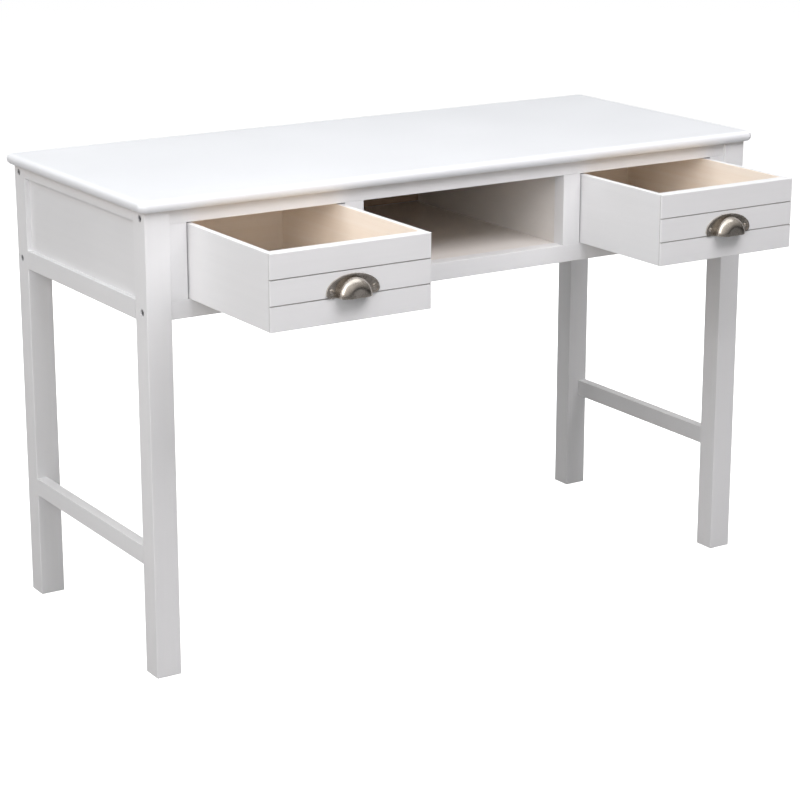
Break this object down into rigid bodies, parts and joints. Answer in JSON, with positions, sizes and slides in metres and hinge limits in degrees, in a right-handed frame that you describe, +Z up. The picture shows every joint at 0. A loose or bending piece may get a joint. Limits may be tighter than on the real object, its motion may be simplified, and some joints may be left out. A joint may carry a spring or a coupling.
{
  "type": "writing desk",
  "caption": "White painted writing desk on straight legs, with drawers with cup pulls either side of an open cubby.",
  "frame": {"origin": "bottom centre of the box round the desk with its drawers as stored, at floor level", "axes": "+X to the right along the front of the desk, +Y from the drawer fronts to the back, +Z up from the floor"},
  "size_m": [1.18, 0.7556, 0.76],
  "materials": {
    "painted_top": "satin white paint",
    "painted_pine": "satin white paint over pine",
    "painted_board": "satin white paint on board",
    "painted_drawer_side": "painted outside, clear lacquer inside",
    "bare_pine": "planed, clear lacquer",
    "plywood": "sanded plywood",
    "beech_dowel": "fluted, raw",
    "brushed_nickel": "antique brushed nickel",
    "zinc_steel": "zinc plated"
  },
  "bodies": {
    "desk": {"back_lower_rail": "painted_pine", "back_panel": "painted_board", "back_upper_rail": "painted_pine", "barrel_nuts": "zinc_steel", "bracket_screws": "zinc_steel", "cleat_screws": "zinc_steel", "cubby_shelf": "painted_board", "divider_dowels": "beech_dowel", "divider_left": "painted_board", "divider_right": "painted_board", "end_stile_left": "painted_pine", "end_stile_right": "painted_pine", "frame_bolts": "zinc_steel", "front_bottom_rail": "painted_pine", "front_top_rail": "painted_pine", "leg_back_left": "painted_pine", "leg_back_right": "painted_pine", "leg_front_left": "painted_pine", "leg_front_right": "painted_pine", "mid_stile_left": "painted_pine", "mid_stile_right": "painted_pine", "rail_end_dowels": "beech_dowel", "runner_dowels": "beech_dowel", "runner_left_inner": "bare_pine", "runner_left_outer": "bare_pine", "runner_right_inner": "bare_pine", "runner_right_outer": "bare_pine", "runner_screws": "zinc_steel", "shelf_cleat_left": "bare_pine", "shelf_cleat_right": "bare_pine", "side_frame_dowels": "beech_dowel", "side_lower_rail_left": "painted_pine", "side_lower_rail_right": "painted_pine", "side_panel_left": "painted_board", "side_panel_right": "painted_board", "side_stretcher_left": "painted_pine", "side_stretcher_right": "painted_pine", "side_upper_rail_left": "painted_pine", "side_upper_rail_right": "painted_pine", "stile_dowels": "beech_dowel", "tabletop": "painted_top", "top_brackets": "zinc_steel"},
    "drawer_left": {"drawer_left_back": "bare_pine", "drawer_left_bottom": "plywood", "drawer_left_cup_pull": "brushed_nickel", "drawer_left_front": "painted_pine", "drawer_left_pull_screws": "brushed_nickel", "drawer_left_side_left": "painted_drawer_side", "drawer_left_side_right": "painted_drawer_side"},
    "drawer_right": {"drawer_right_back": "bare_pine", "drawer_right_bottom": "plywood", "drawer_right_cup_pull": "brushed_nickel", "drawer_right_front": "painted_pine", "drawer_right_pull_screws": "brushed_nickel", "drawer_right_side_left": "painted_drawer_side", "drawer_right_side_right": "painted_drawer_side"}
  },
  "joints": [
    {"name": "drawer_left_slide", "type": "slide", "parent": "desk", "child": "drawer_left", "axis": [0, -1, 0], "range_m": [-0.249, 0.081]},
    {"name": "drawer_right_slide", "type": "slide", "parent": "desk", "child": "drawer_right", "axis": [0, -1, 0], "range_m": [-0.213, 0.117]}
  ]
}
